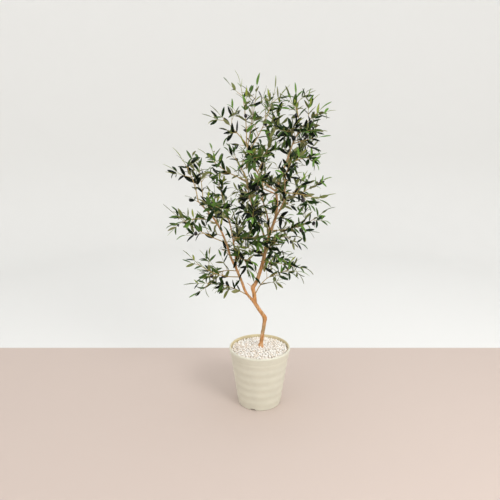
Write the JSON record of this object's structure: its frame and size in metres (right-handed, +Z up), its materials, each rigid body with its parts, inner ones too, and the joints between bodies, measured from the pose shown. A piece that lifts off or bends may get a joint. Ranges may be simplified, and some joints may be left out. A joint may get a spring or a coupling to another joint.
{
  "type": "potted olive tree",
  "caption": "Young olive tree in a round ribbed planter topped with pale pebbles: a kinked trunk forks under an open, airy crown of narrow grey-green leaves with dark olives.",
  "frame": {"origin": "centre of the pot's flat underside", "axes": "+Z up along the pot's axis; -Y towards the front, the side that the trunk and its fork are best seen from; +X to the right seen from the front"},
  "size_m": [0.7865, 0.7425, 1.6189],
  "materials": {
    "pot": "satin",
    "potting_mix": "matte",
    "pebbles": "matte",
    "bark": "matte",
    "foliage": "satin"
  },
  "bodies": {
    "root": {"pot": "pot", "potting_mix": "potting_mix", "pebbles": "pebbles", "trunk": "bark", "right_stem": "bark", "left_stem": "bark", "back_bough": "bark", "centre_bough": "bark", "front_bough": "bark", "leader": "bark", "left_bough": "bark", "left_inner_bough": "bark", "middle_bough": "bark", "right_bough": "bark", "upper_bough": "bark", "spray_back_crest": "foliage", "spray_back_low": "foliage", "spray_centre_crest": "foliage", "spray_centre_front": "foliage", "spray_foot_left": "foliage", "spray_foot_left_back": "foliage", "spray_foot_left_upper": "foliage", "spray_foot_right": "foliage", "spray_foot_right_back": "foliage", "spray_foot_right_upper": "foliage", "spray_front_crest": "foliage", "spray_front_low": "foliage", "spray_inner_back": "foliage", "spray_inner_crest": "foliage", "spray_inner_foot": "foliage", "spray_inner_front": "foliage", "spray_inner_low": "foliage", "spray_leader_back": "foliage", "spray_left_crest": "foliage", "spray_left_crest_inner": "foliage", "spray_left_front": "foliage", "spray_left_reach": "foliage", "spray_left_shoulder": "foliage", "spray_left_underside": "foliage", "spray_middle_front": "foliage", "spray_right_back": "foliage", "spray_right_cluster": "foliage", "spray_right_crest": "foliage", "spray_right_crest_low": "foliage", "spray_right_reach": "foliage", "spray_right_reach_low": "foliage", "spray_right_shelf": "foliage", "spray_right_shelf_back": "foliage", "spray_right_shelf_front": "foliage", "spray_right_top": "foliage", "spray_right_wing": "foliage", "spray_stem_back": "foliage", "spray_stem_front": "foliage", "spray_top_left": "foliage", "spray_top_middle": "foliage", "spray_top_middle_left": "foliage", "spray_upper_back": "foliage", "spray_upper_crest": "foliage", "spray_upper_front": "foliage", "spray_upper_inner": "foliage"}
  },
  "joints": []
}
